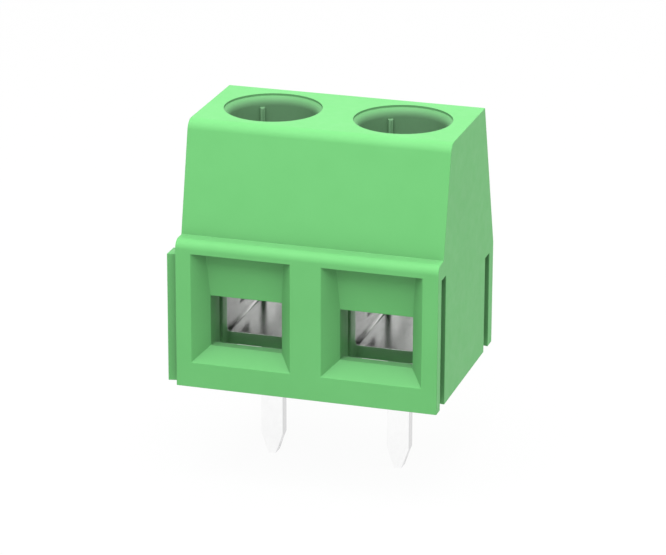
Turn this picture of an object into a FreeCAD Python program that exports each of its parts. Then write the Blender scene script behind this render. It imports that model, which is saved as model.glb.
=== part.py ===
import FreeCAD, Part
import os
import Sketcher

# Two-pole screw terminal for a printed circuit board, with rising clamp cages.
# +X runs along the row of poles, +Y from the wire side to the rear, and +Z up, away from the board.
# The origin lies on the board's surface, midway between the two solder pins.

# Driving sizes in millimetres and degrees, each with what it measures

SIZES = [
    ("pole_pitch", 5.08, "from one screw axis to the next, and the width of housing for one pole"),
    ("front_reach", 4.06, "from the screw axes to the lower front face"),
    ("rear_reach", 4.05, "from the screw axes to the rear face"),
    ("housing_height", 10.0, "from the board to the flat top"),
    ("ledge_height", 5.79, "from the board to the ledge over the wire funnels"),
    ("ledge_depth", 0.71, "from the lower front face to the foot of the sloping front"),
    ("ledge_round", 0.35, "radius along the ledge's front edge"),
    ("top_setback", 1.60, "from the lower front face to the top's front edge"),
    ("top_round", 0.44, "radius along the top's front edge"),
    ("rear_slope_foot", 4.13, "from the board to the foot of the sloping rear"),
    ("rear_slope_setback", 1.69, "from the rear face to the top's rear edge"),
    ("funnel_width", 3.89, "width of a wire funnel at the front face"),
    ("funnel_floor", 0.98, "from the board to the funnel's floor at the front face"),
    ("funnel_roof", 5.28, "from the board to the funnel's roof"),
    ("funnel_depth", 0.72, "from the lower front face to the wire entry"),
    ("funnel_lean", 0.17, "how far the funnel's rear wall leans out at the roof"),
    ("entry_width", 2.80, "width of the wire entry"),
    ("entry_floor", 1.48, "from the board to the wire entry's lip"),
    ("entry_roof", 3.47, "from the board to the wire entry's roof"),
    ("lip_thickness", 0.42, "thickness of the wall under and over the wire entry"),
    ("bore_width", 3.31, "diameter of the screw bore"),
    ("rim_width", 3.73, "diameter of the bore's rim in the top face"),
    ("rim_depth", 0.08, "depth of the rim's short upright wall"),
    ("lead_in_depth", 0.33, "from the rim's foot down to the foot of the bore's rounded lead-in"),
    ("nib_width", 0.20, "width of a screw-retaining nib"),
    ("nib_reach", 0.155, "how far a nib stands into the bore"),
    ("nib_angle", 33.0, "turn of the nibs about the screw axis, from the rear towards the left"),
    ("nib_gap", 0.10, "from the screw head up to the nibs"),
    ("nib_drop", 0.05, "from the foot of the lead-in down to the nibs' tops"),
    ("front_slot_inset", 0.49, "from the lower front face to the front joining slot"),
    ("front_slot_width", 0.61, "width of the front joining slot at its mouth, front to rear"),
    ("front_slot_height", 5.10, "height of the front joining slot"),
    ("rear_slot_inset", 0.59, "from the rear face to the rear joining slot"),
    ("rear_slot_width", 0.63, "width of the rear joining slot at its mouth, front to rear"),
    ("rear_slot_height", 3.85, "height of the rear joining slot"),
    ("slot_depth", 0.505, "depth of the joining slots in the right side"),
    ("joint_flare", 0.115, "how far each wall of a joining slot leans out between mouth and floor"),
    ("rib_clearance", 0.03, "from a joining rib to the walls of a neighbour's slot"),
    ("contact_thickness", 0.50, "thickness of the contact strip and its pin"),
    ("contact_bend", 0.20, "inside radius of the contact strip's bends"),
    ("bar_width", 2.10, "width of the contact strip"),
    ("bar_underside", 3.60, "from the board to the underside of the contact bar"),
    ("bar_end_gap", 0.08, "from the contact bar's ends to the housing, front and rear"),
    ("leg_gap", 0.08, "from the clamp cavity's rear wall to the contact's rear leg"),
    ("foot_underside", 0.45, "from the board to the underside of the contact's foot"),
    ("pin_width", 0.87, "width of a solder pin"),
    ("pin_length", 3.95, "from the board to a pin's tip"),
    ("pin_taper_length", 0.82, "length of the pin's tapered end"),
    ("pin_tip_width", 0.30, "width of a pin at its tip"),
    ("cage_thickness", 0.50, "thickness of the clamp cage's strip"),
    ("cage_bend", 0.13, "inside radius of the cage's bends"),
    ("cage_corner", 0.35, "outside radius of the cage's bends"),
    ("cage_length", 4.26, "length of the cage, front to rear"),
    ("window_width", 2.32, "width inside the cage"),
    ("window_height", 2.50, "height inside the cage"),
    ("lap_gap", 0.04, "between the two laps of the cage's top, and at the lower lap's end"),
    ("hang_gap", 0.06, "from the contact bar up to the lowered cage's top"),
    ("cage_clearance", 0.08, "from the cage to the cavity's walls and roof"),
    ("cage_front_gap", 0.18, "from the cage to the cavity's front wall"),
    ("cage_travel", 1.80, "how far the cage rises from open to clamped"),
    ("screw_width", 2.50, "diameter of the screw's shank"),
    ("thread_clearance", 0.05, "from the shank to the cage's threaded hole, all round"),
    ("tip_gap", 0.02, "from the contact bar up to the screw's tip"),
    ("tip_round", 0.25, "chamfer on the screw's tip"),
    ("head_width", 3.14, "diameter of the screw head"),
    ("head_height", 1.25, "height of the screw head"),
    ("head_gap", 0.10, "from the raised cage up to the screw head"),
    ("head_chamfer", 0.15, "chamfer round the top of the screw head"),
    ("drive_width", 0.60, "width of the driver slot"),
    ("drive_depth", 0.70, "depth of the driver slot"),
]

# Places and sizes that follow from the driving ones

HALF_WIDTH = "size.pole_pitch"
FRONT = "-size.front_reach"
REAR = "size.rear_reach"
ENTRY_FACE = f"({FRONT} + size.funnel_depth)"
LIP_BACK = f"({ENTRY_FACE} + size.lip_thickness)"
BAR_TOP = "(size.bar_underside + size.contact_thickness)"
WINDOW_TOP = f"({BAR_TOP} + size.hang_gap)"
WINDOW_FLOOR = f"({WINDOW_TOP} - size.window_height)"
LOWER_LAP_TOP = f"({WINDOW_TOP} + size.cage_thickness)"
CAGE_TOP = f"({LOWER_LAP_TOP} + size.lap_gap + size.cage_thickness)"
CAGE_FLOOR = f"({WINDOW_FLOOR} - size.cage_thickness)"
CAGE_HALF = "(size.window_width / 2 + size.cage_thickness)"
CAVITY_HALF = f"({CAGE_HALF} + size.cage_clearance)"
CAVITY_FRONT = "(-size.cage_length / 2 - size.cage_front_gap)"
CAVITY_REAR = "(size.cage_length / 2 + size.cage_clearance)"
CAVITY_ROOF = f"({CAGE_TOP} + size.cage_travel + size.cage_clearance)"
LEG_FRONT = f"({CAVITY_REAR} + size.leg_gap)"
LEG_REAR = f"({LEG_FRONT} + size.contact_thickness)"
CHANNEL_HALF = "(size.bar_width / 2 + size.bar_end_gap)"
BAR_FRONT = f"({LIP_BACK} + size.bar_end_gap)"
HEAD_UNDERSIDE = f"({CAGE_TOP} + size.cage_travel + size.head_gap)"
HEAD_TOP = f"({HEAD_UNDERSIDE} + size.head_height)"
RIM_FLOOR = "(size.housing_height - size.rim_depth)"
LEAD_IN = "(size.rim_width / 2 - size.bore_width / 2)"
LEAD_FOOT = f"({RIM_FLOOR} - size.lead_in_depth)"
LEAD_ROUND = f"(({LEAD_IN}^2 + size.lead_in_depth^2) / (2 * {LEAD_IN}))"
PIN_FACE = "size.contact_thickness / 2"

# The two poles, by the side of the origin on which their screw axis lies

POLES = {"left": "-size.pole_pitch / 2", "right": "size.pole_pitch / 2"}

# Places of geometry in a sketch: the sketch's own origin, a line's start and end, and a circle's centre

ORIGIN = -1
START = 1
END = 2
CENTRE = 3

# Distance under which two places count as the same when edges are looked up

NEAR = 0.0001


def make_sheet(doc):
    """Spreadsheet with one named cell for each driving size."""
    sheet = doc.addObject("Spreadsheet::Sheet", "size")
    for row, (name, value, meaning) in enumerate(SIZES, start=1):
        sheet.set(f"A{row}", name)
        sheet.set(f"B{row}", str(value))
        sheet.set(f"C{row}", meaning)
        sheet.setAlias(f"B{row}", name)
    doc.recompute()
    return sheet


def value_of(owner, expression):
    """Present value of an expression of the sheet's sizes."""
    return float(owner.evalExpression(expression))


def new_body(doc, name):
    """Empty body whose label names its piece."""
    body = doc.addObject("PartDesign::Body", name)
    body.Label = name
    return body


def new_sketch(body, name, plane, across="0", up="0", out="0", turn="0"):
    """Sketch on one of the body's origin planes, shifted in its own axes and turned about its normal."""
    sketch = body.newObject("Sketcher::SketchObject", name)
    support = next(item for item in body.Origin.OriginFeatures if item.Role == plane)
    sketch.AttachmentSupport = [(support, "")]
    sketch.MapMode = "FlatFace"
    sketch.setExpression("AttachmentOffset.Base.x", across)
    sketch.setExpression("AttachmentOffset.Base.y", up)
    sketch.setExpression("AttachmentOffset.Base.z", out)
    sketch.setExpression("AttachmentOffset.Rotation.Angle", turn)
    return sketch


def pin_down(sketch, geometry, point, place):
    """Hold a point of the sketch at a pair of expressions."""
    for kind, expression in zip(("DistanceX", "DistanceY"), place):
        value = value_of(sketch, expression)
        index = sketch.addConstraint(Sketcher.Constraint(kind, ORIGIN, START, geometry, point, value))
        sketch.setExpression(f"Constraints[{index}]", expression)


def draw_outline(sketch, corners):
    """Closed outline of straight lines through corners, each a pair of expressions."""
    first = sketch.GeometryCount
    count = len(corners)
    places = [FreeCAD.Vector(value_of(sketch, x), value_of(sketch, y), 0) for x, y in corners]
    for index in range(count):
        sketch.addGeometry(Part.LineSegment(places[index], places[(index + 1) % count]), False)
    for index in range(count):
        line = first + index
        following = first + (index + 1) % count
        sketch.addConstraint(Sketcher.Constraint("Coincident", line, END, following, START))
        pin_down(sketch, line, START, corners[index])


def draw_box(sketch, left, right, bottom, top):
    """Rectangle between four expressions."""
    draw_outline(sketch, [(left, bottom), (right, bottom), (right, top), (left, top)])


def draw_circle(sketch, place, radius):
    """Circle about a pair of expressions."""
    centre = FreeCAD.Vector(value_of(sketch, place[0]), value_of(sketch, place[1]), 0)
    size = value_of(sketch, radius)
    circle = sketch.addGeometry(Part.Circle(centre, FreeCAD.Vector(0, 0, 1), size), False)
    pin_down(sketch, circle, CENTRE, place)
    index = sketch.addConstraint(Sketcher.Constraint("Radius", circle, size))
    sketch.setExpression(f"Constraints[{index}]", radius)


def add_pad(body, sketch, name, length, side="One side", reverse=False):
    """Solid grown from a sketch."""
    pad = body.newObject("PartDesign::Pad", name)
    pad.Profile = sketch
    pad.SideType = side
    pad.Reversed = reverse
    pad.setExpression("Length", length)
    body.Document.recompute()
    return pad


def check_bite(before, cut):
    """A cut that points away from the solid removes nothing, which counts as an error."""
    if not cut.Shape.Volume < before:
        raise RuntimeError(f"{cut.Label} removes nothing")


def add_pocket(body, sketch, name, length, side="One side", reverse=False):
    """Hollow cut from a sketch."""
    before = body.Shape.Volume
    pocket = body.newObject("PartDesign::Pocket", name)
    pocket.Profile = sketch
    pocket.SideType = side
    pocket.Reversed = reverse
    pocket.setExpression("Length", length)
    body.Document.recompute()
    check_bite(before, pocket)
    return pocket


def edges_through(feature, axis, places):
    """Names of the edges along an axis (0, 1 or 2) through places, which give the other coordinates."""
    others = [index for index in range(3) if index != axis]
    targets = [[value_of(feature, expression) for expression in place] for place in places]
    names = []
    for number, edge in enumerate(feature.Shape.Edges, start=1):
        start, end = edge.firstVertex().Point, edge.lastVertex().Point
        along = all(abs(start[index] - end[index]) < NEAR for index in others)
        here = [start[index] for index in others]
        if along and any(abs(here[0] - x) < NEAR and abs(here[1] - y) < NEAR for x, y in targets):
            names.append(f"Edge{number}")
    if len(names) < len(places):
        raise RuntimeError(f"{feature.Label} lacks an edge to round")
    return names


def add_fillet(body, feature, name, axis, places, radius):
    """Rounding of the edges that run along an axis through places."""
    fillet = body.newObject("PartDesign::Fillet", name)
    fillet.Base = (feature, edges_through(feature, axis, places))
    fillet.setExpression("Radius", radius)
    body.Document.recompute()
    return fillet


def make_funnel(body, side, centre):
    """Wire funnel: flared sides and floor, with a rear wall that leans out towards the roof."""
    flare = body.newObject("PartDesign::SubtractiveWedge", f"funnel_{side}")
    flare.setExpression("Ymin", FRONT)
    flare.setExpression("Ymax", ENTRY_FACE)
    flare.setExpression("Xmin", f"{centre} - size.funnel_width / 2")
    flare.setExpression("Xmax", f"{centre} + size.funnel_width / 2")
    flare.setExpression("Zmin", "size.funnel_floor")
    flare.setExpression("Zmax", "size.funnel_roof")
    flare.setExpression("X2min", f"{centre} - size.entry_width / 2")
    flare.setExpression("X2max", f"{centre} + size.entry_width / 2")
    flare.setExpression("Z2min", "size.entry_floor")
    flare.setExpression("Z2max", "size.funnel_roof")
    before = body.Shape.Volume
    body.Document.recompute()
    check_bite(before, flare)


def make_bore(body, side, centre):
    """Screw bore from the top face into the clamp cavity, with a rounded lead-in under a short rim."""
    sketch = new_sketch(body, f"bore_profile_{side}", "XZ_Plane", across=centre)
    rim, wall = "size.rim_width / 2", "size.bore_width / 2"
    corners = [
        ("0", "size.housing_height"),
        (rim, "size.housing_height"),
        (rim, RIM_FLOOR),
        (wall, LEAD_FOOT),
        (wall, CAVITY_ROOF),
        ("0", CAVITY_ROOF),
    ]
    places = [FreeCAD.Vector(value_of(sketch, x), value_of(sketch, y), 0) for x, y in corners]
    arc = 2
    for index, place in enumerate(places):
        following = places[(index + 1) % len(places)]
        if index == arc:
            radius = value_of(sketch, LEAD_ROUND)
            arc_centre = following + FreeCAD.Vector(radius, 0, 0)
            outwards = (place + following) / 2 - arc_centre
            sketch.addGeometry(Part.Arc(place, arc_centre + outwards.normalize() * radius, following), False)
        else:
            sketch.addGeometry(Part.LineSegment(place, following), False)
    for index, corner in enumerate(corners):
        following = (index + 1) % len(corners)
        sketch.addConstraint(Sketcher.Constraint("Coincident", index, END, following, START))
        pin_down(sketch, index, START, corner)
    index = sketch.addConstraint(Sketcher.Constraint("Radius", arc, value_of(sketch, LEAD_ROUND)))
    sketch.setExpression(f"Constraints[{index}]", LEAD_ROUND)
    groove = body.newObject("PartDesign::Groove", f"bore_{side}")
    groove.Profile = sketch
    groove.ReferenceAxis = (sketch, ["V_Axis"])
    groove.Angle = 360
    before = body.Shape.Volume
    body.Document.recompute()
    check_bite(before, groove)


def make_nibs(body, side, centre):
    """Two nibs that stand into the bore, just over the screw head, and keep the screw in."""
    for end, turn in (("rear", "size.nib_angle"), ("front", "size.nib_angle + 180")):
        foot = f"{HEAD_TOP} + size.nib_gap"
        sketch = new_sketch(body, f"nib_plan_{side}_{end}", "XY_Plane", across=centre, out=foot, turn=turn)
        inner = "size.bore_width / 2 - size.nib_reach"
        outer = "size.bore_width / 2 + size.nib_reach"
        draw_box(sketch, "-size.nib_width / 2", "size.nib_width / 2", inner, outer)
        length = f"{LEAD_FOOT} - size.nib_drop - {HEAD_TOP} - size.nib_gap"
        add_pad(body, sketch, f"nib_{side}_{end}", length)


def make_joint(body, end, front, rear, height):
    """Dovetailed joining slot in the right side, and the rib on the left that fits a neighbour's slot."""
    slot = new_sketch(body, f"{end}_slot_plan", "XY_Plane")
    floor = f"{HALF_WIDTH} - size.slot_depth"
    draw_outline(slot, [
        (HALF_WIDTH, front),
        (HALF_WIDTH, rear),
        (floor, f"{rear} + size.joint_flare"),
        (floor, f"{front} - size.joint_flare"),
    ])
    add_pocket(body, slot, f"{end}_slot", height, reverse=True)

    rib = new_sketch(body, f"{end}_rib_plan", "XY_Plane")
    reach = "(size.slot_depth - size.rib_clearance)"
    lean = f"size.joint_flare * {reach} / size.slot_depth"
    root, tip = f"-{HALF_WIDTH}", f"-{HALF_WIDTH} - {reach}"
    draw_outline(rib, [
        (root, f"{front} + size.rib_clearance"),
        (tip, f"{front} + size.rib_clearance - {lean}"),
        (tip, f"{rear} - size.rib_clearance + {lean}"),
        (root, f"{rear} - size.rib_clearance"),
    ])
    add_pad(body, rib, f"{end}_rib", f"{height} - size.rib_clearance")


def make_housing(doc):
    """One-piece moulded housing with a funnel, a clamp cavity and a screw bore for each pole."""
    body = new_body(doc, "housing")

    sketch = new_sketch(body, "side_profile", "YZ_Plane")
    top_front = f"{FRONT} + size.top_setback"
    draw_outline(sketch, [
        (FRONT, "0"),
        (REAR, "0"),
        (REAR, "size.rear_slope_foot"),
        (f"{REAR} - size.rear_slope_setback", "size.housing_height"),
        (top_front, "size.housing_height"),
        (f"{FRONT} + size.ledge_depth", "size.ledge_height"),
        (FRONT, "size.ledge_height"),
    ])
    block = add_pad(body, sketch, "block", "size.pole_pitch * 2", side="Symmetric")
    ledge = add_fillet(body, block, "ledge_rounding", 0, [(FRONT, "size.ledge_height")], "size.ledge_round")
    add_fillet(body, ledge, "top_rounding", 0, [(top_front, "size.housing_height")], "size.top_round")

    for side, centre in POLES.items():
        make_funnel(body, side, centre)

    lean = new_sketch(body, "funnel_lean_profile", "YZ_Plane")
    draw_outline(lean, [
        (ENTRY_FACE, "size.entry_roof"),
        (ENTRY_FACE, "size.funnel_roof"),
        (f"{ENTRY_FACE} - size.funnel_lean", "size.funnel_roof"),
    ])
    add_pad(body, lean, "funnel_rear_walls", "size.pole_pitch + size.funnel_width", side="Symmetric")

    entries = new_sketch(body, "entry_outline", "XZ_Plane", out="size.front_reach")
    for centre in POLES.values():
        half = "size.entry_width / 2"
        draw_box(entries, f"{centre} - {half}", f"{centre} + {half}", "size.entry_floor", "size.entry_roof")
    add_pocket(body, entries, "wire_entries", f"{CAVITY_FRONT} + size.front_reach")

    front_channels = new_sketch(body, "front_channel_plan", "XY_Plane")
    for centre in POLES.values():
        half = "size.entry_width / 2"
        draw_box(front_channels, f"{centre} - {half}", f"{centre} + {half}", LIP_BACK, CAVITY_FRONT)
    add_pocket(body, front_channels, "front_channels", BAR_TOP, reverse=True)

    cavities = new_sketch(body, "cavity_plan", "XY_Plane")
    for centre in POLES.values():
        left, right = f"{centre} - {CAVITY_HALF}", f"{centre} + {CAVITY_HALF}"
        draw_box(cavities, left, right, CAVITY_FRONT, CAVITY_REAR)
    add_pocket(body, cavities, "clamp_cavities", CAVITY_ROOF, reverse=True)

    rear_channels = new_sketch(body, "rear_channel_plan", "XY_Plane")
    for centre in POLES.values():
        rear = f"{LEG_REAR} + size.bar_end_gap"
        draw_box(rear_channels, f"{centre} - {CHANNEL_HALF}", f"{centre} + {CHANNEL_HALF}", CAVITY_REAR, rear)
    add_pocket(body, rear_channels, "rear_channels", BAR_TOP, reverse=True)

    for side, centre in POLES.items():
        make_bore(body, side, centre)
        make_nibs(body, side, centre)

    rear_slot_front = f"{REAR} - size.rear_slot_inset - size.rear_slot_width"
    joining = {
        "front": (f"{FRONT} + size.front_slot_inset", "size.front_slot_width", "size.front_slot_height"),
        "rear": (rear_slot_front, "size.rear_slot_width", "size.rear_slot_height"),
    }
    for end, (near, width, height) in joining.items():
        make_joint(body, end, near, f"{near} + {width}", height)
    return body


def make_cage(doc, side, centre):
    """Clamp cage: one strip bent into a box, whose two ends lap over each other to carry the thread."""
    body = new_body(doc, f"clamp_cage_{side}")
    body.setExpression("Placement.Base.x", centre)
    window_half = "size.window_width / 2"

    ring = new_sketch(body, f"cage_outline_{side}", "XZ_Plane")
    draw_box(ring, f"-{CAGE_HALF}", CAGE_HALF, CAGE_FLOOR, CAGE_TOP)
    draw_box(ring, f"-{window_half}", window_half, WINDOW_FLOOR, WINDOW_TOP)
    strip = add_pad(body, ring, f"strip_{side}", "size.cage_length", side="Symmetric")

    slit = new_sketch(body, f"lap_gap_outline_{side}", "XZ_Plane")
    draw_outline(slit, [
        (f"-{window_half}", WINDOW_TOP),
        (f"-{window_half} + size.lap_gap", WINDOW_TOP),
        (f"-{window_half} + size.lap_gap", LOWER_LAP_TOP),
        (CAGE_HALF, LOWER_LAP_TOP),
        (CAGE_HALF, f"{LOWER_LAP_TOP} + size.lap_gap"),
        (f"-{window_half}", f"{LOWER_LAP_TOP} + size.lap_gap"),
    ])
    laps = add_pocket(body, slit, f"lap_gap_{side}", "size.cage_length", side="Symmetric")

    outer_places = [
        (f"-{CAGE_HALF}", CAGE_FLOOR),
        (CAGE_HALF, CAGE_FLOOR),
        (f"-{CAGE_HALF}", CAGE_TOP),
        (CAGE_HALF, LOWER_LAP_TOP),
    ]
    outer = add_fillet(body, laps, f"outer_bends_{side}", 1, outer_places, "size.cage_corner")
    inner_places = [(f"-{window_half}", WINDOW_FLOOR), (window_half, WINDOW_FLOOR), (window_half, WINDOW_TOP)]
    add_fillet(body, outer, f"inner_bends_{side}", 1, inner_places, "size.cage_bend")

    hole = new_sketch(body, f"thread_plan_{side}", "XY_Plane", out=CAGE_TOP)
    draw_circle(hole, ("0", "0"), "size.screw_width / 2 + size.thread_clearance")
    run = f"{CAGE_TOP} - {WINDOW_TOP} + size.cage_travel + size.hang_gap + size.head_gap"
    add_pocket(body, hole, f"thread_hole_{side}", run)
    return body


def make_contact(doc, side, centre):
    """Solder contact: a strip bent round the rear of the cage, from the clamping bar to the pin."""
    body = new_body(doc, f"solder_contact_{side}")
    body.setExpression("Placement.Base.x", centre)
    outer_bend = "size.contact_bend + size.contact_thickness"
    foot_top = "(size.foot_underside + size.contact_thickness)"
    pin_front, pin_rear = f"-{PIN_FACE}", PIN_FACE

    profile = new_sketch(body, f"contact_profile_{side}", "YZ_Plane")
    draw_outline(profile, [
        (BAR_FRONT, "size.bar_underside"),
        (LEG_FRONT, "size.bar_underside"),
        (LEG_FRONT, foot_top),
        (pin_front, foot_top),
        (pin_front, "size.foot_underside"),
        (LEG_REAR, "size.foot_underside"),
        (LEG_REAR, BAR_TOP),
        (BAR_FRONT, BAR_TOP),
    ])
    strip = add_pad(body, profile, f"contact_strip_{side}", "size.bar_width", side="Symmetric")

    pin = new_sketch(body, f"pin_outline_{side}", "XZ_Plane", out=PIN_FACE)
    half, tip_half = "size.pin_width / 2", "size.pin_tip_width / 2"
    tip, taper = "-size.pin_length", "size.pin_taper_length - size.pin_length"
    draw_outline(pin, [
        (f"-{half}", foot_top),
        (f"-{half}", taper),
        (f"-{tip_half}", tip),
        (tip_half, tip),
        (half, taper),
        (half, foot_top),
    ])
    blade = add_pad(body, pin, f"pin_{side}", "size.contact_thickness", reverse=True)

    outer_places = [(LEG_REAR, BAR_TOP), (LEG_REAR, "size.foot_underside"), (pin_front, foot_top)]
    outer = add_fillet(body, blade, f"contact_outer_bends_{side}", 0, outer_places, outer_bend)
    inner_places = [
        (LEG_FRONT, "size.bar_underside"),
        (LEG_FRONT, foot_top),
        (pin_rear, "size.foot_underside"),
    ]
    add_fillet(body, outer, f"contact_inner_bends_{side}", 0, inner_places, "size.contact_bend")
    return body


def make_screw(doc, side, centre):
    """Clamp screw: plain shank with a chamfered tip on the contact bar, and a slotted cheese head."""
    body = new_body(doc, f"clamp_screw_{side}")
    body.setExpression("Placement.Base.x", centre)
    shank, head = "size.screw_width / 2", "size.head_width / 2"
    tip = f"({BAR_TOP} + size.tip_gap)"

    profile = new_sketch(body, f"screw_profile_{side}", "XZ_Plane")
    draw_outline(profile, [
        ("0", tip),
        (f"{shank} - size.tip_round", tip),
        (shank, f"{tip} + size.tip_round"),
        (shank, HEAD_UNDERSIDE),
        (head, HEAD_UNDERSIDE),
        (head, f"{HEAD_TOP} - size.head_chamfer"),
        (f"{head} - size.head_chamfer", HEAD_TOP),
        ("0", HEAD_TOP),
    ])
    turned = body.newObject("PartDesign::Revolution", f"turned_{side}")
    turned.Profile = profile
    turned.ReferenceAxis = (profile, ["V_Axis"])
    turned.Angle = 360
    doc.recompute()

    slot = new_sketch(body, f"drive_plan_{side}", "XY_Plane", out=HEAD_TOP)
    draw_box(slot, f"-{head}", head, "-size.drive_width / 2", "size.drive_width / 2")
    add_pocket(body, slot, f"drive_slot_{side}", "size.drive_depth")
    return body


def check_document(doc, bodies):
    """Every object is up to date, and every piece is one valid solid."""
    for item in doc.Objects:
        if "Invalid" in item.State or "Error" in item.State:
            raise RuntimeError(f"{item.Label} failed: {item.State}")
    for body in bodies:
        shape = body.Shape
        if shape.isNull() or not shape.isValid() or len(shape.Solids) != 1:
            raise RuntimeError(f"{body.Label} isn't one valid solid")


def main():
    doc = FreeCAD.newDocument("pcb_screw_terminal")
    make_sheet(doc)
    bodies = [make_housing(doc)]
    for side, centre in POLES.items():
        bodies.append(make_cage(doc, side, centre))
        bodies.append(make_contact(doc, side, centre))
        bodies.append(make_screw(doc, side, centre))
    doc.recompute()
    check_document(doc, bodies)
    os.makedirs("parts", exist_ok=True)
    for body in bodies:
        body.Shape.exportStep(f"parts/{body.Label}.step")
        print(body.Label, "volume", round(body.Shape.Volume, 3), "cubic millimetres")


main()
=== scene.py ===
# %% [markdown]
# A two-pole screw terminal is a small green block that is soldered to a circuit board. A wire goes into
# each funnel at the front, and a screw under each round bore pulls a metal cage up against the wire. The
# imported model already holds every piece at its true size, in metres, so this lesson starts by loading it
# as a fixed frame. The box around it is kept, because nothing that the lesson adds may reach outside it.

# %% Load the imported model
import math

import bmesh
import bpy
from mathutils import Matrix, Vector


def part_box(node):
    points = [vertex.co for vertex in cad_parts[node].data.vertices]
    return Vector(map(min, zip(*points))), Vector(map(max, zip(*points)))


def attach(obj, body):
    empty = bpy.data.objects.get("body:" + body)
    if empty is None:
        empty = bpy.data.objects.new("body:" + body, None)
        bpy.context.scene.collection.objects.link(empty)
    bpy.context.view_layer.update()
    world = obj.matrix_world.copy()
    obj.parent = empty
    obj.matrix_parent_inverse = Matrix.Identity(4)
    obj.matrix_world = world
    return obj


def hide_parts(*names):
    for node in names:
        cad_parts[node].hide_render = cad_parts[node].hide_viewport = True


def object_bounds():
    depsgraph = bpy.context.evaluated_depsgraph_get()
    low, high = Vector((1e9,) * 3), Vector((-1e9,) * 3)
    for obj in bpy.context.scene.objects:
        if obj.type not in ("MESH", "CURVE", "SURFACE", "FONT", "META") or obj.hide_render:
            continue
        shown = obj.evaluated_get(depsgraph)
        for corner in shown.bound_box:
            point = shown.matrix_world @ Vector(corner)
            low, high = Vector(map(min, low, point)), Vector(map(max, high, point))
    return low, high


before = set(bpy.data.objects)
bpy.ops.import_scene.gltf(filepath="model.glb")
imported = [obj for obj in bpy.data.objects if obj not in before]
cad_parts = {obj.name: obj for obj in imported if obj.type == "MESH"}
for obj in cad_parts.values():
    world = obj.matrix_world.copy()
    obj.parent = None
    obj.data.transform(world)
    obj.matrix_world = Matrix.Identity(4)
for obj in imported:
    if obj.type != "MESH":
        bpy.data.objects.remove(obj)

cad_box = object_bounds()
MM = 0.001
print("nodes:", sorted(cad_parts))
print("size in mm:", [round(side / MM, 2) for side in cad_box[1] - cad_box[0]])

# %% [markdown]
# Most later places follow from a few of the nodes. The screws give the two bore axes, and the solder
# contacts give the level that the block stands on, at the tips of its pins.

# %% Read the places that the rest is built from
POLES = ("left", "right")
housing_low, housing_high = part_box("housing")
screw_boxes = {side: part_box(f"clamp_screw_{side}") for side in POLES}
axis_x = {side: (low.x + high.x) / 2 for side, (low, high) in screw_boxes.items()}
floor_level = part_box("solder_contact_left")[0].z
middle = (cad_box[0] + cad_box[1]) / 2
print("housing in mm:", [round(side / MM, 2) for side in housing_high - housing_low])
print("screw axes at X mm:", {side: round(x / MM, 2) for side, x in axis_x.items()})
print("floor at Z mm:", round(floor_level / MM, 2))

# %% [markdown]
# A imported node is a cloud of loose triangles. Before it can be worked on, its corners are welded and the
# triangles of each flat wall are dissolved into one face. What is left are the real edges of the moulding,
# and these can be found by the angle between their two faces.

# %% Weld a copy of a node
WELD = 0.0002 * MM
FLAT = math.radians(0.6)


def welded(node):
    """A bmesh of a CAD node with joined corners and whole flat walls."""
    form = bmesh.new()
    form.from_mesh(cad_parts[node].data)
    bmesh.ops.remove_doubles(form, verts=form.verts, dist=WELD)
    bmesh.ops.dissolve_degenerate(form, edges=form.edges, dist=WELD)
    bmesh.ops.dissolve_limit(form, angle_limit=FLAT, verts=form.verts, edges=form.edges)
    return form


sample = welded("housing")
print("housing walls after welding:", len(sample.faces), "faces,", len(sample.edges), "edges")
print("open edges:", sum(edge.is_boundary for edge in sample.edges))
sample.free()

# %% [markdown]
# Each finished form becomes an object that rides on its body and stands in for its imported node. Smooth
# shading alone would smear light round the clear corners, so these are marked sharp, and a Weighted Normal
# modifier lets the large flat walls decide how the small rounds beside them are shaded.

# %% Turn a form into a piece
SHARP = math.radians(50)
WALL_WEIGHT = 100


def finished(form, name, body, replaced):
    """The object of a bmesh, riding on its body in place of the CAD nodes that it stands for."""
    for edge in form.edges:
        edge.smooth = edge.calc_face_angle(0.0) < SHARP
    mesh = bpy.data.meshes.new(name)
    form.to_mesh(mesh)
    form.free()
    mesh.shade_smooth()
    piece = bpy.data.objects.new(name, mesh)
    bpy.context.scene.collection.objects.link(piece)
    weighted = piece.modifiers.new("weighted_normals", "WEIGHTED_NORMAL")
    weighted.weight = WALL_WEIGHT
    weighted.keep_sharp = True
    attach(piece, body)
    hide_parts(*replaced)
    print(f"{name}: {len(mesh.polygons)} faces")
    return piece


# %% [markdown]
# No moulded or stamped edge is perfectly sharp. A mould's corners leave a radius of a few hundredths of a
# millimetre, and that tiny round is what catches the light along the block's outline. A bevel of two
# segments on the edges that turn by more than the corner angle makes it. A bevel in the mesh was chosen
# over one in the shader, because it also shows in the exported model.

# %% Round the edges of a form
CORNER = math.radians(28)
ROUND_SEGMENTS = 2


def round_edges(form, edges, width, segments):
    """A round of a given width on the edges of a form."""
    bmesh.ops.bevel(
        form,
        geom=edges,
        offset=width,
        offset_type="OFFSET",
        segments=segments,
        profile=0.5,
        affect="EDGES",
        clamp_overlap=False,
        material=-1,
    )
    return len(edges)


def soften(form, width, left_sharp=lambda edge: False):
    """Small rounds on the edges where two walls meet at a clear angle."""
    corners = [
        edge
        for edge in form.edges
        if len(edge.link_faces) == 2
        and edge.calc_face_angle() > CORNER
        and not left_sharp(edge)
    ]
    return round_edges(form, corners, width, ROUND_SEGMENTS)


# %% [markdown]
# The housing is one moulding of green plastic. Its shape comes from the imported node, and the only thing it
# lacks are the moulded rounds. The bores keep their own edges, because the node already has their rims and
# lead-ins. Only the little nibs in each bore get a larger round along their three free edges.

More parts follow.
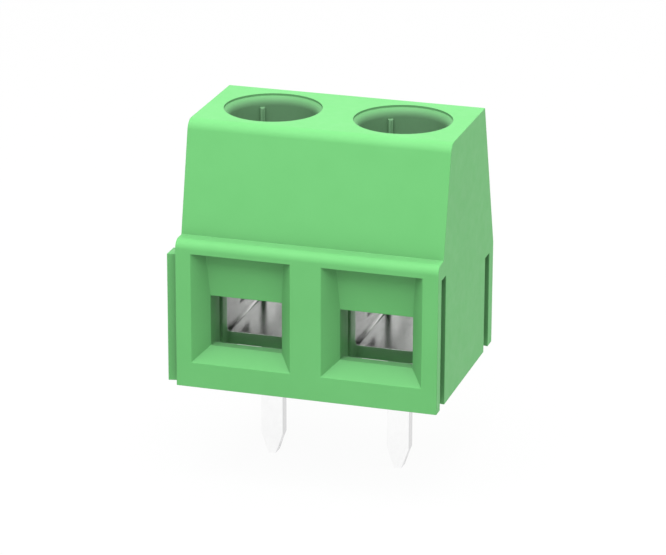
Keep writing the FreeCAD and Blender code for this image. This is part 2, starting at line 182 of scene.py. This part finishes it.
# %% Housing
HOUSING_ROUND = 0.025 * MM
BORE_REACH = 1.95 * MM
BORE_FLOOR = 6.5 * MM
NIB_REACH = 1.54 * MM
NIB_MIDDLE = 8.9 * MM
NIB_ROUND = 0.08 * MM
NIB_SEGMENTS = 4


def near_an_axis(edge, reach, floor):
    """Whether an edge's middle lies close to a screw axis and above a level."""
    centre = (edge.verts[0].co + edge.verts[1].co) / 2
    nearest = min(math.hypot(centre.x - x, centre.y) for x in axis_x.values())
    return nearest < reach and centre.z > floor


def in_a_bore(edge):
    """Whether an edge lies in or round one of the two screw bores."""
    return near_an_axis(edge, BORE_REACH, BORE_FLOOR)


housing_form = welded("housing")
nib_edges = [edge for edge in housing_form.edges if near_an_axis(edge, NIB_REACH, NIB_MIDDLE)]
print("nib edges rounded:", round_edges(housing_form, nib_edges, NIB_ROUND, NIB_SEGMENTS))
print("housing edges rounded:", soften(housing_form, HOUSING_ROUND, left_sharp=in_a_bore))
housing = finished(housing_form, "housing_moulding", "block", ["housing"])

# %% [markdown]
# The cages and contacts are punched from strip and then bent, so their edges are sheared and lightly
# tumbled. They need the same treatment as the housing, with far smaller rounds, because the strip is thin.

# %% Clamp cages and solder contacts
CAGE_ROUND = 0.005 * MM
CONTACT_ROUND = 0.012 * MM
cages = []
contacts = []
for side in POLES:
    cage_form = welded(f"clamp_cage_{side}")
    soften(cage_form, CAGE_ROUND)
    cage = finished(
        cage_form, f"cage_strip_{side}", f"cage_{side}", [f"clamp_cage_{side}"]
    )
    cages.append(cage)
    contact_form = welded(f"solder_contact_{side}")
    soften(contact_form, CONTACT_ROUND)
    contact = finished(
        contact_form, f"contact_strip_{side}", "block", [f"solder_contact_{side}"]
    )
    contacts.append(contact)

# %% [markdown]
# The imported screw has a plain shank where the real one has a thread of 0.45 mm pitch. The new shank is a
# zigzag line, one tooth for each turn of the thread, spun once round the axis while it climbs by one
# pitch, so that the end of each turn meets the start of the next. Two spare turns leave room for trimming.

# %% Thread of the shank
THREAD_PITCH = 0.45 * MM
CREST = 1.23 * MM
ROOT = 0.98 * MM
CREST_FLAT = 0.06 * MM
ROOT_FLAT = 0.06 * MM
TURN_STEPS = 48
SPARE_TURNS = 2
TURN_WELD = 0.001 * MM


def threaded_shank(form, centre, bottom, top):
    """Thread between two levels about an upright axis, added to the form."""
    flank = (THREAD_PITCH - CREST_FLAT - ROOT_FLAT) / 2
    crest_start = ROOT_FLAT + flank
    tooth = [(ROOT, 0), (ROOT, ROOT_FLAT), (CREST, crest_start), (CREST, crest_start + CREST_FLAT)]
    turns = math.ceil((top - bottom) / THREAD_PITCH) + SPARE_TURNS
    line = []
    for turn in range(turns):
        level = bottom + (turn - SPARE_TURNS) * THREAD_PITCH
        line += [form.verts.new((centre.x + out, centre.y, level + rise)) for out, rise in tooth]
    end_level = bottom + (turns - SPARE_TURNS) * THREAD_PITCH
    line.append(form.verts.new((centre.x + ROOT, centre.y, end_level)))
    edges = [form.edges.new(pair) for pair in zip(line, line[1:])]
    bmesh.ops.spin(
        form,
        geom=line + edges,
        cent=centre,
        axis=(0, 0, 1),
        dvec=(0, 0, THREAD_PITCH / TURN_STEPS),
        angle=math.tau,
        steps=TURN_STEPS,
        use_merge=False,
    )
    bmesh.ops.remove_doubles(form, verts=form.verts, dist=TURN_WELD)


# %% [markdown]
# A level plane trims the thread at each end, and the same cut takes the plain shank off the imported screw.
# Bisect throws one half away, and the open rim that it leaves is filled with one face.

# %% Trim a form at a level
CUT_TOLERANCE = 0.0001 * MM


def trimmed(form, level, keep_above):
    """Cuts the form level, throws one half away and closes the cut."""
    cut = bmesh.ops.bisect_plane(
        form,
        geom=form.verts[:] + form.edges[:] + form.faces[:],
        dist=CUT_TOLERANCE,
        plane_co=(0, 0, level),
        plane_no=(0, 0, 1),
        clear_inner=keep_above,
        clear_outer=not keep_above,
    )
    rim = [item for item in cut["geom_cut"] if isinstance(item, bmesh.types.BMEdge)]
    return bmesh.ops.contextual_create(form, geom=rim)["faces"]


# %% [markdown]
# The screw's head, with its slot, is kept from the node, and the new shank reaches a quarter of a pitch
# into it. An inset of the shank's lower end, pushed down, makes the chamfered tip. The head and the shank
# stay two closed bodies in one mesh, because they turn together and nothing shows between them.

# %% Clamp screws
HEAD_UNDERSIDE = 7.10 * MM
SHANK_OVERLAP = THREAD_PITCH / 4
TIP_CHAMFER = 0.2 * MM
SCREW_ROUND = 0.03 * MM
screws = []
for side in POLES:
    screw_low = screw_boxes[side][0].z
    shank = bmesh.new()
    threaded_shank(shank, Vector((axis_x[side], 0, 0)), screw_low, HEAD_UNDERSIDE)
    trimmed(shank, HEAD_UNDERSIDE + SHANK_OVERLAP, keep_above=False)
    tip_face = trimmed(shank, screw_low + TIP_CHAMFER, keep_above=True)
    bmesh.ops.recalc_face_normals(shank, faces=shank.faces)
    bmesh.ops.inset_region(shank, faces=tip_face, thickness=TIP_CHAMFER, depth=0)
    bmesh.ops.translate(shank, verts=tip_face[0].verts, vec=(0, 0, -TIP_CHAMFER))
    head = welded(f"clamp_screw_{side}")
    trimmed(head, HEAD_UNDERSIDE, keep_above=True)
    soften(head, SCREW_ROUND)
    shank_mesh = bpy.data.meshes.new("shank")
    shank.to_mesh(shank_mesh)
    shank.free()
    head.from_mesh(shank_mesh)
    bpy.data.meshes.remove(shank_mesh)
    screw = finished(
        head, f"screw_{side}", f"screw_{side}", [f"clamp_screw_{side}"]
    )
    screws.append(screw)

# %% [markdown]
# A finish is a tree of nodes. A few helpers keep it readable: one starts a material with its Principled
# shader, and one makes a Math node whose inputs may be numbers or the sockets of other nodes.

# %% Helpers that start a finish
def new_finish(name, colour, roughness, metallic):
    """Material with its Principled shader."""
    material = bpy.data.materials.new(name)
    material.use_nodes = True
    shader = material.node_tree.nodes["Principled BSDF"]
    shader.inputs["Base Color"].default_value = (*colour, 1)
    shader.inputs["Roughness"].default_value = roughness
    shader.inputs["Metallic"].default_value = metallic
    return material, shader


def calculated(tree, operation, *values):
    """Result of a Math node on numbers or sockets."""
    node = tree.nodes.new("ShaderNodeMath")
    node.operation = operation
    for socket, value in zip(node.inputs, values):
        if isinstance(value, bpy.types.NodeSocket):
            tree.links.new(value, socket)
        else:
            socket.default_value = value
    return node.outputs["Value"]


# %% [markdown]
# No real surface is one flat colour, so most values run between two ends along a noise. The noise is read
# from Object coordinates, so that the pattern stays on the piece from every side and in the exported
# model. It rarely leaves the range from 0.3 to 0.7, and that range is stretched to the wanted values.

# %% Helpers that vary a finish
NOISE_LOW = 0.3
NOISE_HIGH = 0.7


def add_noise(tree, grain, detail=3.0, stretch=(1, 1, 1)):
    """Noise whose grain is a length on the piece, stretched along the axes by shares."""
    place = tree.nodes.new("ShaderNodeTexCoord")
    mapping = tree.nodes.new("ShaderNodeMapping")
    mapping.inputs["Scale"].default_value = [1 / (grain * share) for share in stretch]
    noise = tree.nodes.new("ShaderNodeTexNoise")
    noise.inputs["Scale"].default_value = 1.0
    noise.inputs["Detail"].default_value = detail
    tree.links.new(place.outputs["Object"], mapping.inputs["Vector"])
    tree.links.new(mapping.outputs["Vector"], noise.inputs["Vector"])
    return noise.outputs["Fac"]


def spread(tree, noise, low, high):
    """A noise brought to a range of values."""
    ranged = tree.nodes.new("ShaderNodeMapRange")
    ranged.inputs["From Min"].default_value = NOISE_LOW
    ranged.inputs["From Max"].default_value = NOISE_HIGH
    ranged.inputs["To Min"].default_value = low
    ranged.inputs["To Max"].default_value = high
    tree.links.new(noise, ranged.inputs["Value"])
    return ranged.outputs["Result"]


def blended(tree, factor, first, second):
    """Colour that runs from the first to the second, each a colour or a socket, as the factor rises."""
    mix = tree.nodes.new("ShaderNodeMix")
    mix.data_type = "RGBA"
    for end, colour in (("A", first), ("B", second)):
        if isinstance(colour, bpy.types.NodeSocket):
            tree.links.new(colour, mix.inputs[end])
        else:
            mix.inputs[end].default_value = (*colour, 1)
    tree.links.new(factor, mix.inputs["Factor"])
    return mix.outputs["Result"]


def add_relief(tree, shader, height, depth):
    """Bump of a real depth from a height between 0 and 1."""
    bump = tree.nodes.new("ShaderNodeBump")
    bump.inputs["Strength"].default_value = 1.0
    bump.inputs["Distance"].default_value = depth
    tree.links.new(height, bump.inputs["Height"])
    tree.links.new(bump.outputs["Normal"], shader.inputs["Normal"])


# %% [markdown]
# The plastic is a satin green polyamide. Up close such a moulding isn't one flat colour: the pigment runs
# a little lighter and darker over a millimetre or two. The two greens lie close together, so that the
# block still reads as one colour from afar.

# %% Green plastic
GREEN = (0.167, 0.545, 0.183)
DEEP_GREEN = (0.159, 0.528, 0.174)
PIGMENT_GRAIN = 1.6 * MM
PLASTIC_ROUGHNESS = 0.42
PLASTIC_SPECULAR = 0.08
plastic, plastic_shader = new_finish("green_polyamide", GREEN, PLASTIC_ROUGHNESS, 0.0)
plastic_shader.inputs["Specular IOR Level"].default_value = PLASTIC_SPECULAR
plastic_tree = plastic.node_tree
pigment = spread(plastic_tree, add_noise(plastic_tree, PIGMENT_GRAIN), 0.0, 1.0)
green_colour = blended(plastic_tree, pigment, DEEP_GREEN, GREEN)
print("plastic:", plastic.name, "from", DEEP_GREEN, "to", GREEN)

# %% [markdown]
# The walls of the two bores are painted a greyer, darker green, as painted shade. That colour is mixed in
# by the distance from the bore's axis and by the depth below the top, so that it fades in softly along the
# rounded mouth. The two bores lie equally far from the middle, so one distance serves both.

# %% Painted shade on the walls of the bores
BORE_SHADE_GREEN = (0.134, 0.290, 0.145)
BORE_SHADE_REACH = 1.872 * MM
BORE_SHADE_START = 10.12 * MM
BORE_SHADE_FULL = 9.62 * MM


def bore_depth(tree):
    """0 outside the bores, rising to 1 below their rounded mouths."""
    place = tree.nodes.new("ShaderNodeTexCoord")
    parts = tree.nodes.new("ShaderNodeSeparateXYZ")
    tree.links.new(place.outputs["Object"], parts.inputs["Vector"])
    mirrored = calculated(tree, "ABSOLUTE", parts.outputs["X"])
    sideways = calculated(tree, "SUBTRACT", mirrored, abs(axis_x["right"]))
    flat = tree.nodes.new("ShaderNodeCombineXYZ")
    tree.links.new(sideways, flat.inputs["X"])
    tree.links.new(parts.outputs["Y"], flat.inputs["Y"])
    distance = tree.nodes.new("ShaderNodeVectorMath")
    distance.operation = "LENGTH"
    tree.links.new(flat.outputs["Vector"], distance.inputs[0])
    inside = calculated(tree, "LESS_THAN", distance.outputs["Value"], BORE_SHADE_REACH)
    depth = tree.nodes.new("ShaderNodeMapRange")
    depth.inputs["From Min"].default_value = BORE_SHADE_START
    depth.inputs["From Max"].default_value = BORE_SHADE_FULL
    tree.links.new(parts.outputs["Z"], depth.inputs["Value"])
    return calculated(tree, "MULTIPLY", inside, depth.outputs["Result"])


# Painted shade: below their rounded mouths the bore walls turn to a darker, greyer green.
wall_colour = blended(plastic_tree, bore_depth(plastic_tree), green_colour, BORE_SHADE_GREEN)
print("rubbed within", round(BORE_SHADE_REACH / MM, 3), "mm of each bore's axis")

# %% [markdown]
# In the bores, the funnels, the slots and along the foot of the ledge the plastic is painted darker and
# greyer, as painted shade in the recesses. That could be painted on by hand. The Ambient Occlusion node
# finds the same places by itself, because it tells how open the space in front of each point is, and here it
# only looks at the moulding's own walls. A few rays are enough, because every sample of the render sends new
# ones.

# %% Painted shade in the recesses
RECESS_SHADE_GREEN = (0.132, 0.262, 0.142)
RECESS_REACH = 4.0 * MM
OPENNESS_RAYS = 8
openness = plastic_tree.nodes.new("ShaderNodeAmbientOcclusion")
openness.samples = OPENNESS_RAYS
openness.only_local = True
openness.inputs["Distance"].default_value = RECESS_REACH
# Painted shade: where the moulding's own walls close in, the colour turns to a darker, greyer green.
plastic_colour = blended(plastic_tree, openness.outputs["AO"], RECESS_SHADE_GREEN, wall_colour)
plastic_tree.links.new(plastic_colour, plastic_shader.inputs["Base Color"])
print("a recess is felt up to", round(RECESS_REACH / MM, 1), "mm from a wall")

# %% [markdown]
# The polished mould leaves a very fine grain, and the gloss drifts a little over a third of a millimetre.
# The relief is less than half a micrometre deep. A bump is enough for that, where a mesh would need
# millions of faces.

# %% Fine grain of the moulding
SHEEN_GRAIN = 0.35 * MM
SHEEN_LOW = 0.38
SHEEN_HIGH = 0.46
MOULD_GRAIN = 0.03 * MM
MOULD_DETAIL = 2.0
MOULD_RELIEF = 0.0004 * MM
sheen = spread(plastic_tree, add_noise(plastic_tree, SHEEN_GRAIN), SHEEN_LOW, SHEEN_HIGH)
plastic_tree.links.new(sheen, plastic_shader.inputs["Roughness"])
mould_noise = add_noise(plastic_tree, MOULD_GRAIN, detail=MOULD_DETAIL)
add_relief(plastic_tree, plastic_shader, mould_noise, MOULD_RELIEF)
print("plastic nodes:", len(plastic_tree.nodes))

# %% [markdown]
# All the metals are plated, and their colour and polish run along fine lines. A render's noise filter
# treats metal smoother and rougher than about 0.27 in two ways, and a metal whose polish crosses that
# value comes out speckled. So each one keeps its whole range on one side of it.

# %% Plated metal
METAL_RELIEF = 0.00004 * MM
POLISH_GRAIN = 1.7
POLISH_LOW = 0.82
POLISH_HIGH = 1.18


def plated(name, light, dark, roughness, lines, stretch):
    """Bright metal whose colour and polish vary along fine lines."""
    metal, shader = new_finish(name, light, roughness, 1.0)
    tree = metal.node_tree
    tone = spread(tree, add_noise(tree, lines, stretch=stretch), 0.0, 1.0)
    tree.links.new(blended(tree, tone, dark, light), shader.inputs["Base Color"])
    polish_noise = add_noise(tree, lines * POLISH_GRAIN, stretch=stretch)
    polish = spread(tree, polish_noise, roughness * POLISH_LOW, roughness * POLISH_HIGH)
    tree.links.new(polish, shader.inputs["Roughness"])
    add_relief(tree, shader, add_noise(tree, lines, detail=0.0, stretch=stretch), METAL_RELIEF)
    return metal


# %% [markdown]
# The cage is bright nickel over steel, and its rolling lines are stretched twelve times along Y. The
# screw is zinc-plated and turned. Its grey is rougher and has no lines, so that the heads keep their tone
# when the block is seen from above.

# %% Nickel and zinc
NICKEL = (0.91, 0.91, 0.905)
NICKEL_SHADE = (0.86, 0.86, 0.855)
NICKEL_ROUGHNESS = 0.22
NICKEL_LINES = 0.05 * MM
ZINC = (0.41, 0.42, 0.43)
ZINC_SHADE = (0.34, 0.35, 0.37)
ZINC_ROUGHNESS = 0.42
ZINC_GRAIN = 0.08 * MM
nickel = plated(
    "nickel_plated_strip", NICKEL, NICKEL_SHADE, NICKEL_ROUGHNESS, NICKEL_LINES, (1, 12, 1)
)
zinc = plated("zinc_plated_screw", ZINC, ZINC_SHADE, ZINC_ROUGHNESS, ZINC_GRAIN, (1, 1, 1))
print("metals:", nickel.name, zinc.name)

# %% [markdown]
# The contact and its pin are tinned, which is whiter. They are punched from the strip, so the narrow
# sides are sheared and duller than the rolled faces. Their darker grey is partly that duller finish and
# partly painted shade on those sides. The object's own normal tells the two apart: on a sheared side it
# points along the row of poles.

# %% Tin with darker sheared sides, partly painted shade
TIN = (0.99, 0.99, 0.99)
TIN_SHADE = (0.97, 0.97, 0.97)
TIN_ROUGHNESS = 0.20
TIN_LINES = 0.12 * MM
SHEARED_AND_SHADE_GREY = (0.67, 0.67, 0.675)
SHEARED_TURN = 0.7


def sheared_sides(tree):
    """1 on the faces that look along the row of poles, and 0 elsewhere."""
    place = tree.nodes.new("ShaderNodeTexCoord")
    parts = tree.nodes.new("ShaderNodeSeparateXYZ")
    tree.links.new(place.outputs["Normal"], parts.inputs["Vector"])
    either_way = calculated(tree, "ABSOLUTE", parts.outputs["X"])
    return calculated(tree, "GREATER_THAN", either_way, SHEARED_TURN)


tin = plated("bright_tin", TIN, TIN_SHADE, TIN_ROUGHNESS, TIN_LINES, (1, 1, 2))
tin_tree = tin.node_tree
tin_base = tin_tree.nodes["Principled BSDF"].inputs["Base Color"]
rolled_colour = tin_base.links[0].from_socket
# Partly painted shade: the sides that look along the row of poles get a darker grey.
tin_tree.links.new(blended(tin_tree, sheared_sides(tin_tree), rolled_colour, SHEARED_AND_SHADE_GREY), tin_base)
print("tin:", tin.name, "with", len(tin_tree.nodes), "nodes")

# %% [markdown]
# Each new piece gets its finish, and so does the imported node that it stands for, because the node is what
# shows when someone opens the plain model.

# %% Give each piece its finish
FINISHES = [(plastic, [housing]), (nickel, cages), (tin, contacts), (zinc, screws)]
NODE_FINISHES = {
    "housing": plastic,
    "clamp_cage": nickel,
    "solder_contact": tin,
    "clamp_screw": zinc,
}
dressed = [(piece, finish) for finish, pieces in FINISHES for piece in pieces]
for node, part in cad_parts.items():
    finish = next(finish for start, finish in NODE_FINISHES.items() if node.startswith(start))
    dressed.append((part, finish))
for piece, finish in dressed:
    piece.data.materials.clear()
    piece.data.materials.append(finish)
print("pieces and nodes finished:", len(dressed))

# %% [markdown]
# The floor and the far background are pure white, as on a product sheet. Only what the camera, the gloss
# and the glass see is white. The Light Path node tells such rays from the light that reaches matte
# surfaces, so the white background doesn't light the block.

# %% Tell the rays that see from those that light
def seen_rays(tree):
    """1 for the rays of the camera, of gloss and of glass, and 0 for those that light matte surfaces."""
    rays = tree.nodes.new("ShaderNodeLightPath")
    seen = rays.outputs["Is Camera Ray"]
    for kind in ("Is Glossy Ray", "Is Transmission Ray"):
        seen = calculated(tree, "MAXIMUM", seen, rays.outputs[kind])
    return seen


# %% [markdown]
# To matte surfaces the floor is a plain grey card, so that it lights the block only weakly from below.
# The camera sees it glow white, with a small share of the matte card mixed in, and in that share a soft
# trace of the block's shadow stays on the floor.

# %% White floor
FLOOR_GREY = 0.45
SHADOW_SHARE = 0.08
PAPER_GLOW = 1.038
FLOOR_SIZE = 2.0
floor_form = bmesh.new()
bmesh.ops.create_grid(floor_form, x_segments=1, y_segments=1, size=FLOOR_SIZE / 2)
bmesh.ops.translate(floor_form, verts=floor_form.verts, vec=(0, 0, floor_level))
floor_mesh = bpy.data.meshes.new("floor")
floor_form.to_mesh(floor_mesh)
floor_form.free()
floor = bpy.data.objects.new("floor", floor_mesh)
bpy.context.scene.collection.objects.link(floor)

paper = bpy.data.materials.new("white_paper")
paper.use_nodes = True
paper_tree = paper.node_tree
paper_tree.nodes.clear()
paper_output = paper_tree.nodes.new("ShaderNodeOutputMaterial")
paper_matte = paper_tree.nodes.new("ShaderNodeBsdfDiffuse")
paper_matte.inputs["Color"].default_value = (FLOOR_GREY, FLOOR_GREY, FLOOR_GREY, 1)
paper_glow = paper_tree.nodes.new("ShaderNodeEmission")
paper_glow.inputs["Strength"].default_value = PAPER_GLOW
paper_share = calculated(paper_tree, "MULTIPLY", seen_rays(paper_tree), 1 - SHADOW_SHARE)
paper_mix = paper_tree.nodes.new("ShaderNodeMixShader")
paper_tree.links.new(paper_share, paper_mix.inputs["Fac"])
paper_tree.links.new(paper_matte.outputs["BSDF"], paper_mix.inputs[1])
paper_tree.links.new(paper_glow.outputs["Emission"], paper_mix.inputs[2])
paper_tree.links.new(paper_mix.outputs["Shader"], paper_output.inputs["Surface"])
floor_mesh.materials.append(paper)
print("floor at", round(floor_level / MM, 2), "mm, of", FLOOR_SIZE, "m")

# %% [markdown]
# The world gives the even light of a white room. Matte surfaces get a little over half the strength at
# which the camera and the gloss see it.

# %% White world
WORLD_LEVEL = 0.56
world = bpy.data.worlds.new("studio")
world.use_nodes = True
bpy.context.scene.world = world
sky_tree = world.node_tree
sky = sky_tree.nodes["Background"]
sky.inputs["Color"].default_value = (1, 1, 1, 1)
sky_level = sky_tree.nodes.new("ShaderNodeMapRange")
sky_level.inputs["To Min"].default_value = WORLD_LEVEL
sky_level.inputs["To Max"].default_value = 1.0
sky_tree.links.new(seen_rays(sky_tree), sky_level.inputs["Value"])
sky_tree.links.new(sky_level.outputs["Result"], sky.inputs["Strength"])
print("world level:", WORLD_LEVEL)

# %% [markdown]
# Four soft boxes light the block from above. The one overhead and the one in front of it make the top the
# brightest face and leave the funnels a little darker than the face round them. A weaker one on the right
# keeps that side from falling into shade, and a faint one behind lights the top's rear edge.

# %% Soft boxes
BOX_SIZE = 0.10
SOFT_BOXES = {
    "box_above": ((0.0, 0.0, 0.13), 0.064),
    "box_front": ((0.0, -0.065, 0.115), 0.141),
    "box_right": ((0.14, 0.03, 0.09), 0.052),
    "box_behind": ((0.0, 0.085, 0.10), 0.012),
}
for name, (place, power) in SOFT_BOXES.items():
    lamp = bpy.data.lights.new(name, "AREA")
    lamp.size = BOX_SIZE
    lamp.energy = power
    holder = bpy.data.objects.new(name, lamp)
    bpy.context.scene.collection.objects.link(holder)
    holder.location = place
    holder.rotation_euler = (middle - Vector(place)).to_track_quat("-Z", "Y").to_euler()
print("lamps in watts:", {name: power for name, (place, power) in SOFT_BOXES.items()})

# %% [markdown]
# The camera stands where the photograph was taken from: in front, a little to the right and above, and far
# enough away that the block's edges stay nearly parallel. Its place was found by fitting the block's known
# corners to the photograph.

# %% Camera
CAMERA_PLACE = Vector((35.188, -116.067, 46.588)) * MM
CAMERA_YAW = math.radians(16.940)
CAMERA_PITCH = math.radians(-19.567)
CAMERA_ROLL = math.radians(0.219)
FOCAL_LENGTH = 182.85
SENSOR_WIDTH = 36.0
NEAREST_SEEN = 0.005
FARTHEST_SEEN = 10.0
camera_lens = bpy.data.cameras.new("camera")
camera_lens.lens = FOCAL_LENGTH
camera_lens.sensor_width = SENSOR_WIDTH
camera_lens.clip_start = NEAREST_SEEN
camera_lens.clip_end = FARTHEST_SEEN
camera = bpy.data.objects.new("camera", camera_lens)
bpy.context.scene.collection.objects.link(camera)
turned = (
    Matrix.Rotation(CAMERA_YAW, 4, "Z")
    @ Matrix.Rotation(math.pi / 2 + CAMERA_PITCH, 4, "X")
    @ Matrix.Rotation(CAMERA_ROLL, 4, "Z")
)
camera.matrix_world = Matrix.Translation(CAMERA_PLACE) @ turned
bpy.context.scene.camera = camera
bpy.context.scene.view_settings.view_transform = "Standard"
print("camera distance in mm:", round((CAMERA_PLACE - middle).length / MM, 1))
